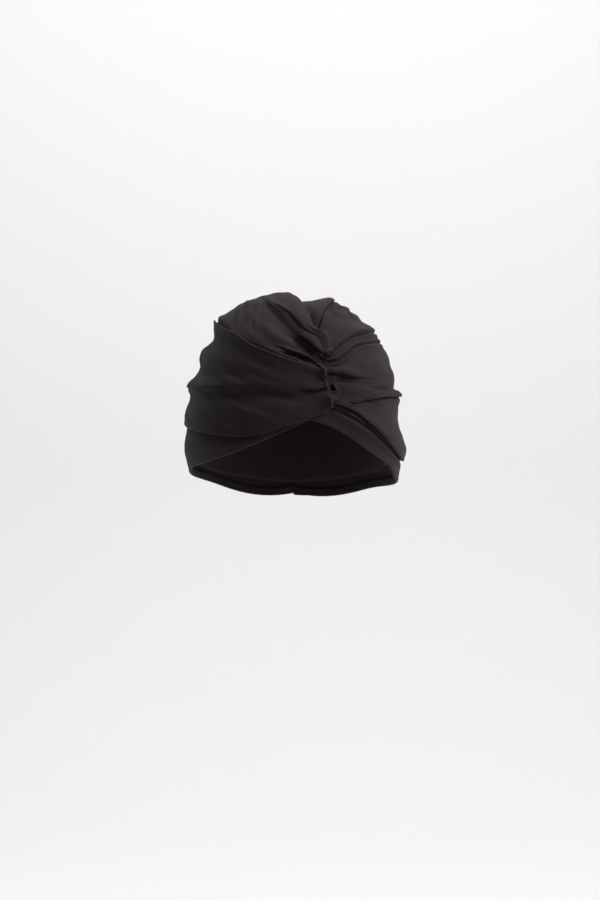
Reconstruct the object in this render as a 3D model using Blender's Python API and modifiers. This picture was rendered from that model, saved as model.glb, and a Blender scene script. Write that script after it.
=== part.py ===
"""Turban headwrap in black jersey: a close cap, two front bands, and four folded panels gathered at the brow.

Metres, +Z up, the front faces -Y. The origin is in the middle of the head opening, level with the side hems.
"""

import bpy
import numpy as np
from mathutils import Vector
from mathutils.bvhtree import BVHTree

HEAD_BREADTH = 0.160  # inside the cap, ear to ear
HEAD_LENGTH = 0.197  # inside the cap, brow to back
CROWN_RISE = 0.093  # from the head's centre up to the top of the cap
CENTRE_HEIGHT = 0.045  # of the head's centre above the side hems
ROUNDNESS = 2.05  # of the form: 2 is an ellipse, and more is squarer
FOLD_LIFT = 0.010  # of a full fold above the cap
CAP_WALL = 0.0015
CLOTH_WALL = 0.0012
LAYER_GAP = 0.0003
SEAM_GAP = 0.0008  # between the left and right panels at the centre back
TURN_UNDER = 0.0045  # of a folded edge
EDGE_SOFTNESS = 0.0035  # over which a panel's end bends down at the gather
LAID_CLOSE = 0.00002  # a panel is laid once nothing moves by more than this

HALF_BREADTH = HEAD_BREADTH / 2 + CAP_WALL
HALF_LENGTH = HEAD_LENGTH / 2 + CAP_WALL
EDGE_RADIUS = CLOTH_WALL + 0.75 * LAYER_GAP
CENTRE = np.array([0.0, 0.0, CENTRE_HEIGHT])
OUTSIDE = 2 * HEAD_LENGTH  # from the head's centre to where a look inwards starts, beyond every panel
LOOK_ASIDE = 0.02  # how far to each side of a point the panels under it are felt for, in radians
BACK_SHARE = 0.55  # of the half length, behind which a panel keeps to its side of the seam
GATHER_CLOSENESS = 1.15  # of the columns: 1 is even, and more is closer together near the gather
LINE_STEPS = 12  # between two points of a fold line
LAY_ROUNDS = 8
JERSEY = (0.012, 0.011, 0.013, 1)

CAP_COLUMNS = 28
CAP_RINGS = 8
# The cap's rim: degrees from the front, and degrees above the head's centre.
CAP_RIM = [(0, 5), (20, 0), (45, -11), (70, -19), (90, -22), (135, -26), (180, -28)]

# Each panel has a row for each of its fold lines, from its upper edge to its lower edge. A row is a run of
# points from the gather to the centre back: degrees round from the front (right is positive), degrees above
# the head's centre, and lift as a share of FOLD_LIFT.
LEFT_BAND = [
    ("upper_edge", [
        (9, 3.0, 0.16), (-6, -1.0, 0.16), (-24, -4.0, 0.16), (-85, 2.0, 0.16), (-135, 3.0, 0.16),
        (-180, 2.0, 0.16)]),
    ("under_drape", [
        (9, 1.0, 0.18), (-6, -4.2, 0.20), (-24, -8.5, 0.25), (-85, -4.0, 0.45), (-135, -4.0, 0.30),
        (-180, -5.0, 0.20)]),
    ("fullest", [
        (8, 0.0, 0.20), (-6, -5.5, 0.30), (-24, -11.2, 0.40), (-53, -14.0, 0.55), (-85, -16.0, 0.75),
        (-135, -16.0, 0.50), (-180, -17.0, 0.25)]),
    ("hem", [
        (7, -1.0, 0.30), (-6, -6.6, 0.33), (-24, -13.8, 0.33), (-53, -21.4, 0.33), (-85, -26.4, 0.42),
        (-135, -30.0, 0.33), (-180, -31.0, 0.33)]),
]
RIGHT_BAND = [
    ("upper_edge", [
        (4, 9.0, 0.16), (18, 9.0, 0.16), (31, 4.0, 0.16), (54, -5.0, 0.16), (85, -13.0, 0.16),
        (135, -15.0, 0.16), (180, -15.0, 0.16)]),
    ("strip", [
        (4, 6.5, 0.2), (18, 5.4, 0.5), (28, 0.6, 0.45), (38, -4.2, 0.45), (54, -12.4, 0.5),
        (85, -21.0, 0.5), (135, -22.0, 0.4), (180, -22.0, 0.25)]),
    ("crease", [
        (4, 4.6, 0.16), (16, 4.0, 0.16), (24, 1.0, 0.16), (35, -4.3, 0.2), (54, -13.6, 0.3),
        (85, -22.6, 0.35), (135, -24.0, 0.3), (180, -24.0, 0.2)]),
    ("ridge", [
        (5, 3.4, 0.16), (16, 2.4, 0.35), (26, -2.2, 0.55), (38, -7.8, 0.60), (55, -16.2, 0.65),
        (85, -24.2, 0.50), (135, -26.0, 0.4), (180, -26.0, 0.3)]),
    ("face", [
        (5, 1.8, 0.16), (16, -0.6, 0.25), (26, -5.4, 0.38), (38, -11.4, 0.42), (55, -19.0, 0.45),
        (85, -27.0, 0.40), (135, -28.5, 0.38), (180, -28.5, 0.3)]),
    ("hem", [
        (5, -0.4, 0.30), (16, -3.6, 0.33), (26, -8.4, 0.33), (38, -14.9, 0.33), (57, -22.2, 0.33),
        (72, -29.5, 0.35), (90, -31.0, 0.35), (135, -31.5, 0.33), (180, -31.0, 0.33)]),
]
CROWN_RIGHT = [
    ("left_edge", [
        (12, 40.0, 0.16), (9, 52.0, 0.16), (8, 66.0, 0.16), (25, 82.0, 0.16), (172, 82.0, 0.16),
        (180, 76.0, 0.16)]),
    ("tuck_floor", [
        (13, 40.5, 0.16), (13, 52.0, 0.20), (17, 64.0, 0.22), (50, 78.0, 0.20), (150, 79.0, 0.20),
        (180, 71.0, 0.16)]),
    ("tuck_ridge", [
        (15, 41.0, 0.16), (19, 47.0, 0.45), (26, 56.0, 0.70), (40, 64.0, 0.90), (70, 71.0, 0.95),
        (140, 73.0, 0.60), (180, 66.0, 0.20)]),
    ("lobe", [
        (17, 41.0, 0.16), (26, 50.0, 0.40), (38, 58.5, 0.65), (58, 64.5, 0.95), (90, 66.0, 1.00),
        (135, 65.0, 0.65), (180, 59.0, 0.20)]),
    ("right_edge", [
        (18, 38.0, 0.16), (27, 46.0, 0.16), (43, 51.5, 0.16), (62, 54.0, 0.16), (90, 55.0, 0.16),
        (135, 54.0, 0.16), (180, 49.0, 0.16)]),
]
RIGHT_DRAPE = [
    ("upper_edge", [
        (13, 40.8, 0.35), (19, 46.8, 0.60), (28, 53.0, 0.55), (43, 57.5, 0.45), (62, 58.5, 0.36),
        (90, 57.5, 0.34), (135, 54.0, 0.34), (180, 50.0, 0.33)]),
    ("upper_face", [
        (12, 34.5, 0.28), (22, 39.0, 0.40), (35, 46.0, 0.38), (58, 50.0, 0.24), (90, 51.5, 0.22),
        (135, 48.0, 0.20), (180, 44.0, 0.18)]),
    ("first_fold", [
        (12, 28.5, 0.30), (23, 32.6, 0.50), (35, 39.6, 0.60), (48, 43.6, 0.65), (75, 47.8, 0.70),
        (90, 47.5, 0.65), (135, 44.5, 0.40), (180, 40.0, 0.20)]),
    ("first_crease", [
        (11, 26.8, 0.25), (23, 30.7, 0.28), (35, 37.5, 0.30), (48, 41.3, 0.32), (75, 44.8, 0.45),
        (90, 44.3, 0.45), (135, 42.0, 0.25), (180, 37.5, 0.16)]),
    ("second_fold", [
        (11, 25.6, 0.45), (23, 29.2, 0.50), (35, 35.6, 0.52), (48, 39.8, 0.52), (80, 42.8, 0.62),
        (135, 40.0, 0.40), (180, 35.0, 0.20)]),
    ("second_crease", [
        (11, 23.8, 0.20), (24, 27.0, 0.22), (32, 31.8, 0.25), (41, 35.4, 0.28), (55, 38.2, 0.32),
        (83, 40.2, 0.42), (135, 37.5, 0.25), (180, 32.5, 0.16)]),
    ("side_face", [
        (11, 22.0, 0.35), (24, 23.8, 0.35), (36, 26.5, 0.35), (55, 29.5, 0.42), (85, 31.5, 0.50),
        (135, 29.0, 0.35), (180, 25.0, 0.18)]),
    ("soft_ridge", [
        (11, 19.6, 0.40), (22, 20.5, 0.50), (28, 19.4, 0.48), (38, 19.2, 0.38), (60, 20.5, 0.28),
        (85, 21.0, 0.25), (135, 19.0, 0.20), (180, 17.0, 0.18)]),
    ("hollow", [
        (11, 16.0, 0.16), (21, 17.4, 0.16), (28, 16.8, 0.20), (38, 16.4, 0.26), (60, 16.8, 0.24),
        (85, 17.0, 0.17), (135, 16.0, 0.17), (180, 14.0, 0.16)]),
    ("third_fold", [
        (11, 7.6, 0.35), (22, 8.0, 0.38), (31, 8.7, 0.42), (43, 10.4, 0.46), (60, 12.2, 0.50),
        (85, 13.2, 0.54), (135, 12.0, 0.35), (180, 10.0, 0.20)]),
    ("third_crease", [
        (11, 6.8, 0.30), (23, 5.8, 0.28), (31, 6.7, 0.22), (43, 8.5, 0.22), (60, 10.0, 0.25),
        (85, 10.6, 0.24), (135, 10.0, 0.20), (180, 8.0, 0.16)]),
    ("lower_face", [
        (11, 6.2, 0.35), (26, 3.8, 0.36), (41, 2.2, 0.32), (60, 1.0, 0.26), (85, -0.6, 0.24),
        (135, -2.0, 0.25), (180, -4.0, 0.18)]),
    ("lower_ridge", [
        (11, 5.8, 0.40), (26, 3.4, 0.48), (38, -1.4, 0.50), (54, -7.6, 0.58), (77, -13.4, 0.80),
        (95, -14.8, 0.80), (135, -14.0, 0.50), (180, -14.0, 0.33)]),
    ("lower_edge", [
        (11, 5.4, 0.45), (26, 2.9, 0.52), (38, -2.9, 0.54), (54, -11.0, 0.58), (77, -18.6, 0.70),
        (95, -19.4, 0.70), (135, -18.0, 0.50), (180, -18.0, 0.33)]),
]
CROWN_LEFT = [
    ("right_edge", [
        (18, 30.4, 0.75), (18, 36.6, 0.85), (15, 39.6, 0.85), (11.5, 44.0, 0.80), (10, 52.0, 0.75),
        (8, 62.0, 0.75), (4, 76.0, 0.70), (180, 86.0, 0.50), (180, 76.0, 0.33)]),
    ("lobe_top", [
        (18, 29.8, 0.80), (18, 36.0, 0.98), (13, 39.8, 1.02), (8, 44.0, 1.02), (4, 53.0, 0.98),
        (-4, 66.0, 0.95), (-20, 82.0, 0.92), (-172, 80.0, 0.70), (-180, 72.0, 0.25)]),
    ("ridge", [
        (18, 29.0, 0.75), (17, 35.0, 0.95), (10, 38.5, 1.05), (4, 41.0, 1.10), (-1, 48.0, 1.08),
        (-12, 58.0, 1.02), (-30, 70.0, 0.98), (-130, 80.0, 0.85), (-172, 73.0, 0.45), (-180, 68.0, 0.20)]),
    ("ear_edge", [
        (17, 28.0, 0.60), (13, 31.0, 0.72), (7, 37.0, 0.85), (1, 41.5, 0.85), (-5, 49.0, 0.88),
        (-18, 58.0, 0.92), (-40, 68.0, 0.98), (-110, 74.0, 0.90), (-160, 68.0, 0.45), (-180, 63.0, 0.20)]),
    ("scoop", [
        (16, 26.0, 0.40), (12, 32.0, 0.38), (3, 36.0, 0.45), (-4, 38.5, 0.55), (-14, 46.5, 0.72),
        (-27, 54.5, 0.95), (-52, 64.0, 1.15), (-100, 68.0, 1.00), (-150, 63.0, 0.45), (-180, 58.0, 0.20)]),
    ("pocket", [
        (15, 23.0, 0.30), (12, 28.5, 0.25), (5, 31.5, 0.28), (-3, 33.0, 0.36), (-15, 41.5, 0.56),
        (-32, 50.0, 0.76), (-60, 59.0, 1.02), (-100, 62.0, 0.92), (-145, 58.0, 0.45), (-180, 54.0, 0.20)]),
    ("lip", [
        (13, 20.5, 0.45), (10, 25.0, 0.78), (4, 27.6, 0.80), (-6, 28.0, 0.60), (-22, 36.0, 0.50),
        (-47, 46.0, 0.68), (-80, 54.0, 0.80), (-130, 52.0, 0.50), (-180, 48.0, 0.18)]),
    ("front_edge", [
        (12, 19.0, 0.20), (4, 23.5, 0.22), (-8, 26.0, 0.18), (-26, 32.0, 0.16), (-50, 39.5, 0.16),
        (-85, 46.0, 0.16), (-130, 45.0, 0.16), (-180, 42.0, 0.16)]),
]
LEFT_DRAPE = [
    ("upper_edge", [
        (13, 20.3, 0.80), (9, 21.5, 0.85), (3, 23.3, 0.85), (-11, 28.3, 0.80), (-26, 34.9, 0.85),
        (-47, 42.6, 0.98), (-78, 51.0, 1.15), (-110, 50.0, 0.85), (-180, 46.0, 0.40)]),
    ("below_edge", [
        (13, 18.6, 0.75), (2, 21.0, 0.62), (-11, 25.0, 0.58), (-26, 31.0, 0.58), (-47, 38.5, 0.55),
        (-81, 44.0, 0.38), (-135, 44.0, 0.35), (-180, 42.0, 0.35)]),
    ("side_fold", [
        (13, 17.6, 0.75), (-6, 19.5, 0.55), (-26, 24.0, 0.48), (-50, 29.0, 0.48), (-80, 32.5, 0.66),
        (-110, 36.0, 0.60), (-180, 32.0, 0.30)]),
    ("side_hollow", [
        (13, 17.0, 0.76), (-6, 17.4, 0.54), (-26, 19.5, 0.46), (-50, 23.5, 0.38), (-80, 27.0, 0.38),
        (-110, 29.0, 0.34), (-180, 26.0, 0.22)]),
    ("middle_ridge", [
        (13, 16.3, 0.80), (-6, 15.6, 0.58), (-20, 14.8, 0.56), (-37, 14.7, 0.54), (-60, 15.2, 0.55),
        (-84, 15.6, 0.76), (-110, 16.5, 0.60), (-180, 14.0, 0.22)]),
    ("valley", [
        (13, 11.5, 0.60), (3, 10.0, 0.42), (-10, 9.8, 0.30), (-22, 10.9, 0.32), (-42, 12.4, 0.36),
        (-85, 12.4, 0.38), (-135, 12.0, 0.28), (-180, 10.0, 0.18)]),
    ("lower_fold", [
        (14, 7.6, 0.85), (3, 4.6, 0.66), (-10, 2.6, 0.60), (-24, 1.4, 0.60), (-45, 2.0, 0.60),
        (-85, 0.5, 0.67), (-135, 1.0, 0.50), (-180, 0.0, 0.30)]),
    ("lower_edge", [
        (15, 4.2, 0.95), (9, 1.0, 0.80), (1, -2.0, 0.72), (-13, -6.5, 0.62), (-24, -8.0, 0.52),
        (-48, -6.6, 0.48), (-85, -3.0, 0.60), (-135, -2.0, 0.50), (-180, -3.0, 0.40)]),
]

# Name, rows, columns, steps between rows, folded upper edge, folded lower edge, side of the seam (-1 is
# left), and whether the end bends down at the gather.
PANELS = [
    ("left_band", LEFT_BAND, 22, 1, False, True, -1, False),
    ("right_band", RIGHT_BAND, 24, 1, False, True, 1, False),
    ("crown_right_fold", CROWN_RIGHT, 15, 2, False, False, 1, False),
    ("right_drape", RIGHT_DRAPE, 26, 1, True, True, 1, True),
    ("crown_left_fold", CROWN_LEFT, 26, 2, True, False, -1, True),
    ("left_drape", LEFT_DRAPE, 28, 2, True, True, -1, True),
]


def clear_scene():
    for item in list(bpy.data.objects):
        bpy.data.objects.remove(item)
    for group in list(bpy.data.collections):
        bpy.data.collections.remove(group)


def direction(round_degrees, up_degrees):
    """The unit vector from the head's centre, this far round from the front and this far up."""
    a = np.radians(round_degrees)
    e = np.radians(up_degrees)
    return np.stack([np.sin(a) * np.cos(e), -np.cos(a) * np.cos(e), np.sin(e)], axis=-1)


def form_reach(ways):
    """How far the cap's outer surface is from the head's centre along each of these unit vectors."""
    total = (np.abs(ways[..., 0]) / HALF_BREADTH) ** ROUNDNESS
    total = total + (np.abs(ways[..., 1]) / HALF_LENGTH) ** ROUNDNESS
    total = total + (np.maximum(ways[..., 2], 0.0) / CROWN_RISE) ** ROUNDNESS
    return total ** (-1.0 / ROUNDNESS)


def unit(vectors):
    return vectors / np.maximum(np.linalg.norm(vectors, axis=-1, keepdims=True), 1e-12)


def smooth_curve(points, steps):
    """A centripetal Catmull-Rom curve through the points, with this many steps between each two of them."""
    points = np.asarray(points, float)
    ends = (2 * points[0] - points[1], 2 * points[-1] - points[-2])
    padded = np.concatenate([[ends[0]], points, [ends[1]]])
    spans = np.sqrt(np.linalg.norm(np.diff(padded, axis=0), axis=-1)) + 1e-9
    knots = np.concatenate([[0.0], np.cumsum(spans)])
    found = []
    for i in range(1, len(padded) - 2):
        share = np.arange(steps) / steps
        if i == len(padded) - 3:
            share = np.arange(steps + 1) / steps
        t = (knots[i] + share * (knots[i + 1] - knots[i]))[:, None]
        t0, t1, t2, t3 = knots[i - 1 : i + 3]
        p0, p1, p2, p3 = padded[i - 1 : i + 3]
        a1 = (t1 - t) / (t1 - t0) * p0 + (t - t0) / (t1 - t0) * p1
        a2 = (t2 - t) / (t2 - t1) * p1 + (t - t1) / (t2 - t1) * p2
        a3 = (t3 - t) / (t3 - t2) * p2 + (t - t2) / (t3 - t2) * p3
        b1 = (t2 - t) / (t2 - t0) * a1 + (t - t0) / (t2 - t0) * a2
        b2 = (t3 - t) / (t3 - t1) * a2 + (t - t1) / (t3 - t1) * a3
        found.append((t2 - t) / (t2 - t1) * b1 + (t - t1) / (t2 - t1) * b2)
    return np.concatenate(found)


def fold_line(stations, columns):
    """A row of points along one fold line, closer together near the gather."""
    table = np.array(stations, float)
    marks = np.column_stack([direction(table[:, 0], table[:, 1]), table[:, 2]])
    curve = smooth_curve(marks, LINE_STEPS)
    ways = unit(curve[:, :3])
    run = np.concatenate([[0.0], np.cumsum(np.linalg.norm(np.diff(ways, axis=0), axis=1))])
    wanted = run[-1] * (np.arange(columns + 1) / columns) ** GATHER_CLOSENESS
    ways = unit(np.column_stack([np.interp(wanted, run, ways[:, k]) for k in range(3)]))
    lift = np.interp(wanted, run, curve[:, 3]) * FOLD_LIFT
    return ways, lift


def bend_ends(grid, lifts, ways):
    """Lowers the lift over the last few millimetres before the gather, as cloth turns in there."""
    along = np.linalg.norm(np.diff(grid, axis=1), axis=2)
    along = np.concatenate([np.zeros((len(grid), 1)), np.cumsum(along, axis=1)], axis=1)
    share = np.clip(1 - along / EDGE_SOFTNESS, 0, 1)
    drop = (1 - np.sqrt(1 - share**2)) * np.maximum(lifts - CLOTH_WALL - LAYER_GAP, 0)
    return grid - ways * drop[..., None]


def folded_edge(grid, clear):
    """Rows that carry the panel's first row round and back under it, with each one's clearance."""
    edge = grid[0]
    outward = unit(edge - CENTRE)
    across = edge - grid[1]
    across = unit(across - outward * np.sum(across * outward, axis=-1, keepdims=True))
    rows = []
    for turn in np.radians((60, 120, 180)):
        step = EDGE_RADIUS * ((np.cos(turn) - 1) * outward + np.sin(turn) * across)
        rows.append((edge + step, LAYER_GAP + EDGE_RADIUS * (1 + np.cos(turn))))
    run = np.linalg.norm(np.diff(grid, axis=0), axis=2)
    run = np.concatenate([np.zeros((1, grid.shape[1])), np.cumsum(run, axis=0)])
    back = np.empty_like(edge)
    for c in range(grid.shape[1]):
        back[c] = [np.interp(TURN_UNDER, run[:, c], grid[:, c, k]) for k in range(3)]
    rows.append((back - 2 * EDGE_RADIUS * unit(back - CENTRE), LAYER_GAP))
    clear[run < 1.6 * TURN_UNDER] = LAYER_GAP + 2 * EDGE_RADIUS
    return rows


def panel_grid(rows, columns, steps, fold_upper, fold_lower, bends):
    """The panel's outer surface as rows of points, with each row's clearance over the panels under it."""
    lines = [fold_line(stations, columns) for _, stations in rows]
    ways = np.stack([line[0] for line in lines])
    lifts = np.stack([line[1] for line in lines])
    grid = CENTRE + ways * (form_reach(ways) + lifts)[..., None]
    if bends:
        grid = bend_ends(grid, lifts, ways)
    grid = np.stack([smooth_curve(grid[:, c], steps) for c in range(columns + 1)], axis=1)
    clear = np.full(grid.shape[:2], CLOTH_WALL + LAYER_GAP)
    width = columns + 1
    upper = folded_edge(grid, clear) if fold_upper else []
    lower = folded_edge(grid[::-1], clear[::-1]) if fold_lower else []
    points = [row for row, _ in upper[::-1]] + list(grid) + [row for row, _ in lower]
    heights = [np.full(width, height) for _, height in upper[::-1]] + list(clear)
    heights += [np.full(width, height) for _, height in lower]
    return np.stack(points), np.stack(heights), len(upper), len(lower)


def reach_of(points):
    return np.linalg.norm(points - CENTRE, axis=-1)


def between(grid):
    """The middles of the grid's faces and of their sides."""
    along = (grid[:, 1:] + grid[:, :-1]) / 2
    across = (grid[1:] + grid[:-1]) / 2
    middle = (along[1:] + along[:-1]) / 2
    return np.concatenate([part.reshape(-1, 3) for part in (along, across, middle)])


def highest_under(ways, below, spread):
    """How far out the outermost surface under each unit vector is, looking a little to each side as well."""
    across = unit(np.cross(ways, [0.31, 0.17, 0.93]))
    other = np.cross(ways, across)
    best = form_reach(ways)
    for turn in range(9):
        lean = 0.0 if turn == 8 else spread
        angle = turn * np.pi / 4
        tried = unit(ways + lean * (np.cos(angle) * across + np.sin(angle) * other))
        reach = form_reach(tried)
        for i in np.ndindex(tried.shape[:-1]):
            way = Vector(tried[i])
            for tree in below:
                hit = tree.ray_cast(Vector(CENTRE) + OUTSIDE * way, -way, OUTSIDE)
                if hit[0] is not None:
                    reach[i] = max(reach[i], (hit[0] - Vector(CENTRE)).length)
        best = np.maximum(best, reach)
    return best


def raise_over(clear, ways, reach, wanted, heights):
    """Raises the corners of each face that lies closer over one of the wanted points than its clearance."""
    faces = grid_faces(reach.shape[0], reach.shape[1], False)
    corners = np.array(faces)
    points = (CENTRE + ways * reach[..., None]).reshape(-1, 3)
    tree = BVHTree.FromPolygons([tuple(p) for p in points], faces)
    rise = np.zeros(len(points))
    for point, height in zip(wanted, heights):
        arm = Vector(point - CENTRE)
        hit = tree.ray_cast(Vector(CENTRE), arm)
        if hit[0] is None:
            continue
        around = corners[hit[2]]
        short = arm.length + max(height, clear[around].max()) - (hit[0] - Vector(CENTRE)).length
        rise[around] = np.maximum(rise[around], max(short, 0.0))
    return reach + rise.reshape(reach.shape), rise.max()


def lay_over(grid, clear, upper, lower, below, under_points):
    """Moves points outwards until the panel clears those under it and its own folded edges."""
    ways = unit(grid - CENTRE)
    reach = np.maximum(reach_of(grid), highest_under(ways, below, LOOK_ASIDE) + clear)
    outer = slice(upper, len(grid) - lower)
    double = 2 * EDGE_RADIUS
    for _ in range(LAY_ROUNDS):
        middles = between(CENTRE + ways * reach[..., None])
        floors = highest_under(unit(middles - CENTRE), below, 0.0)
        low = CENTRE + unit(middles - CENTRE) * floors[:, None]
        reach, first = raise_over(clear.reshape(-1), ways, reach, low, np.zeros(len(low)))
        reach, second = raise_over(clear.reshape(-1), ways, reach, under_points, np.zeros(len(under_points)))
        third = 0.0
        for edge in ([0] if upper else []) + ([len(grid) - 1] if lower else []):
            own = CENTRE + ways[edge] * reach[edge][:, None]
            none = np.zeros(reach[outer].size)
            reach[outer], moved = raise_over(none, ways[outer], reach[outer], own, np.full(len(own), double))
            third = max(third, moved)
        if max(first, second, third) < LAID_CLOSE:
            break
    return CENTRE + ways * reach[..., None]


def keep_to_side(grid, side):
    """Ends a panel just short of the centre back."""
    limit = SEAM_GAP / 2
    grid[:, -1, 0] = side * limit
    behind = grid[..., 1] > BACK_SHARE * HALF_LENGTH
    grid[..., 0] = np.where(behind, side * np.maximum(side * grid[..., 0], limit), grid[..., 0])
    return grid


def mesh_object(name, points, faces, wall):
    mesh = bpy.data.meshes.new(name)
    mesh.from_pydata([tuple(p) for p in points], [], faces)
    mesh.update()
    item = bpy.data.objects.new(name, mesh)
    collection.objects.link(item)
    solid = item.modifiers.new("wall", "SOLIDIFY")
    solid.thickness = wall
    solid.offset = -1
    material = bpy.data.materials.new(name + "_jersey")
    material.use_nodes = True
    shader = material.node_tree.nodes["Principled BSDF"]
    shader.inputs["Base Color"].default_value = JERSEY
    shader.inputs["Roughness"].default_value = 0.85
    mesh.materials.append(material)
    for face in mesh.polygons:
        face.use_smooth = True


def grid_faces(rows, columns, flip):
    faces = []
    for i in range(rows - 1):
        for j in range(columns - 1):
            a = i * columns + j
            face = (a, a + 1, a + columns + 1, a + columns)
            faces.append(face[::-1] if flip else face)
    return faces


def crown_cap():
    """Builds the close cap, in rings from the rim up to the top of the head, and returns its surface."""
    turns = np.arange(CAP_COLUMNS) * 360 / CAP_COLUMNS
    rim = np.array(CAP_RIM, float)
    low = np.interp(np.minimum(turns, 360 - turns), rim[:, 0], rim[:, 1])
    rings = []
    for k in range(CAP_RINGS):
        up = low + (90 - low) * k / CAP_RINGS
        ways = direction(turns, up)
        rings.append(CENTRE + ways * form_reach(ways)[:, None])
    top = CENTRE + np.array([0, 0, CROWN_RISE])
    points = np.concatenate(rings + [top[None]])
    faces = []
    for k in range(CAP_RINGS - 1):
        for j in range(CAP_COLUMNS):
            a = k * CAP_COLUMNS + j
            b = k * CAP_COLUMNS + (j + 1) % CAP_COLUMNS
            faces.append((a, b, b + CAP_COLUMNS, a + CAP_COLUMNS))
    last = (CAP_RINGS - 1) * CAP_COLUMNS
    for j in range(CAP_COLUMNS):
        faces.append((last + j, last + (j + 1) % CAP_COLUMNS, len(points) - 1))
    mesh_object("crown_cap", points, faces, CAP_WALL)
    return BVHTree.FromPolygons([tuple(p) for p in points], faces)


clear_scene()
collection = bpy.data.collections.new("turban_headwrap")
bpy.context.scene.collection.children.link(collection)
laid = [crown_cap()]
under_points = []
for name, rows, columns, steps, fold_upper, fold_lower, side, bends in PANELS:
    grid, clear, upper, lower = panel_grid(rows, columns, steps, fold_upper, fold_lower, bends)
    grid = keep_to_side(lay_over(grid, clear + LAYER_GAP / 3, upper, lower, laid, under_points), side)
    points = grid.reshape(-1, 3)
    faces = grid_faces(grid.shape[0], grid.shape[1], side > 0)
    mesh_object(name, points, faces, CLOTH_WALL)
    laid.append(BVHTree.FromPolygons([tuple(p) for p in points], faces))
    under_points.extend(points)
    under_points.extend(between(grid))
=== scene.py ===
"""The looks of the black jersey turban: each cloth panel as a fine folded sheet over its CAD solid.

Metres, +Z up, the front faces -Y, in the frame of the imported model.
"""

import bpy
import numpy as np
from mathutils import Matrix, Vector


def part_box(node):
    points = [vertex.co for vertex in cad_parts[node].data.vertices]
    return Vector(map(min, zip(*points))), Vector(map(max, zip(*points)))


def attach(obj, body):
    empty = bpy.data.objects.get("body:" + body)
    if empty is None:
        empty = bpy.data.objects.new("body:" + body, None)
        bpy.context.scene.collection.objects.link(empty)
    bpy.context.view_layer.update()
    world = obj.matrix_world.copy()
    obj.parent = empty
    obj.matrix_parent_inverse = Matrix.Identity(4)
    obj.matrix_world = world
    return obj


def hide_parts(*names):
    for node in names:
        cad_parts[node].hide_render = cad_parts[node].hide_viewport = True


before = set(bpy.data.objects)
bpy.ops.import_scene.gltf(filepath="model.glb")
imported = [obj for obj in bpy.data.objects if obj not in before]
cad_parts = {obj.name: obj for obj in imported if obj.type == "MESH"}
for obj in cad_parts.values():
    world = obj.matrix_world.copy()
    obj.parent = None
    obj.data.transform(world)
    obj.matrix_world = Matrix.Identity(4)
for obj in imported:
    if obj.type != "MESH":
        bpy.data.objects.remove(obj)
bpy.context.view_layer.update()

MM = 0.001
_, CAP_HIGH = (np.array(corner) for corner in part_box("crown_cap"))
HALF_BREADTH = CAP_HIGH[0]
HALF_LENGTH = CAP_HIGH[1]
CROWN_RISE = 0.093  # from the head's centre up to the top of the cap
ROUNDNESS = 2.05  # the power in the cap's outline, where 2 would give an ellipsoid
CENTRE = np.array([0.0, 0.0, CAP_HIGH[2] - CROWN_RISE])

WALL = 0.9 * MM
CAP_WALL = 1.2 * MM
LAYER_GAP = 0.25 * MM
SEAM_LAP = 1.6 * MM
SEAM_ZONE = 0.55  # of the half length: behind this, a panel keeps to its own side
TURN_UNDER = 5.0 * MM
EDGE_TURNS = np.radians(np.arange(20, 181, 20))  # the rows that go round a folded edge
UNDER_SHARES = (0.3, 0.65, 1.0)  # of TURN_UNDER: the rows of the cloth turned under
EDGE_ZONE = 1.5  # times TURN_UNDER: the cloth that is kept clear of what is turned under it

CELL = 1.0 * MM  # of the sheets' grids
NARROW_STRIP = 2.5 * MM  # a strip between two rows still has two cells below this width
ROW_SLACK = 1.03  # a row's length, over that of the straight lines from point to point
LINE_STEPS = 16  # to a span of a fold line
CREASE_STEPS = 10
CREASE_FADE = 0.7
END_BEND = 3.0 * MM  # over which a panel's end turns in at the gather
END_COLUMNS = 9
END_ZONE = END_BEND * 1.2  # where the columns lie closer together
END_CROWDING = 0.75

# How a fold's cross-section fits in between the rows beside it.
PROFILE_REACH = 2.6  # times the fold's size
ROOM_BY_FOLD = 0.45  # of the way to a row that is a fold too
ROOM_BY_FACE = 0.85  # of the way to any other row
CORE = 1.3  # times the fold's size: inside this, a folded profile begins to leave the slope of its neighbours
CORE_FADE = 1.1

# The waves that cloth keeps: how many, their lengths along and across the folds in mm, and the usual size of
# their sum.
WAVES = 16
LONG_WAVES = (45, 150)
SHORT_WAVES = (9, 30)
WAVE_SUM = 2.83
GATHER_WAVES = 0.8  # how much taller they are at the gather
GATHER_ZONE = 25 * MM
STILL_ZONE = 4 * MM  # at the edges

# The map of directions, flat round the crown, in degrees from the crown.
MAP_EDGE = 130.0
MAP_CELL = 0.5
MAP_SIZE = round(2 * MAP_EDGE / MAP_CELL) + 1
MAP_POINTS = 4  # to each cell of a sheet that goes on the map
LIFT_SPREADS = (4, 2, 0)  # cells of a sheet over which each round of lifting is spread

# The cap's rim: degrees from the front, and degrees above the head's centre.
CAP_RIM = [(0, 5), (20, 0), (45, -11), (70, -19), (90, -22), (135, -26), (180, -28)]
CAP_ROWS = 90
CAP_COLUMNS = 200
CAP_POLE = 0.004  # the share of the way down where the first row lies

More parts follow.
